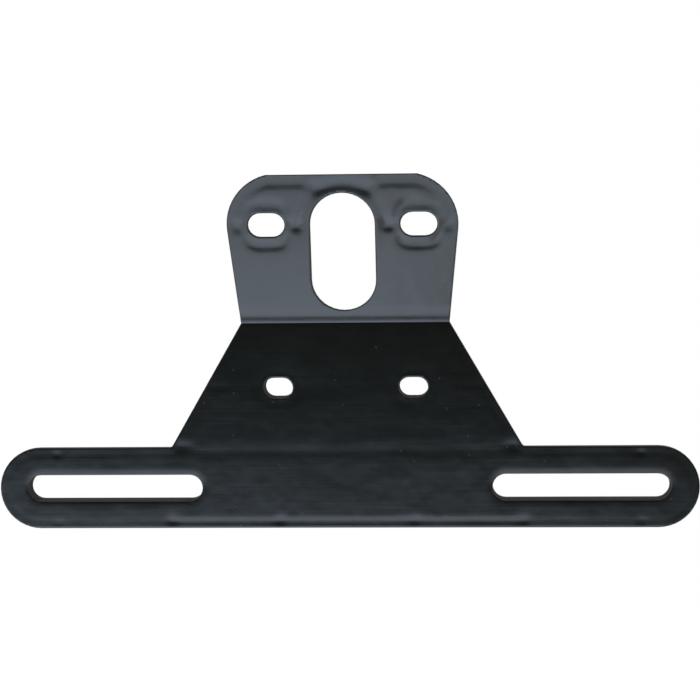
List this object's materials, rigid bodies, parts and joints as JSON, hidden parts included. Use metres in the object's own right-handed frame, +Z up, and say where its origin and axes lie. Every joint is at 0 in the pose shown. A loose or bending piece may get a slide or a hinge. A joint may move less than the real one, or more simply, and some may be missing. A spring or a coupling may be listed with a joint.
{
  "type": "license plate bracket",
  "caption": "Moulded plastic plate bracket: slotted bar, tapering neck and leaning flange with bolt slots and a tall window, ribbed on the back.",
  "frame": {"origin": "middle of the bar on its front face, where the number plate lies", "axes": "+X along the bar to the right seen from the front, +Y to the back, +Z up the neck"},
  "size_m": [0.23, 0.0212, 0.116],
  "materials": {
    "satin_black_plastic": "satin"
  },
  "bodies": {
    "root": {"plate_bracket": "satin_black_plastic"}
  },
  "joints": []
}
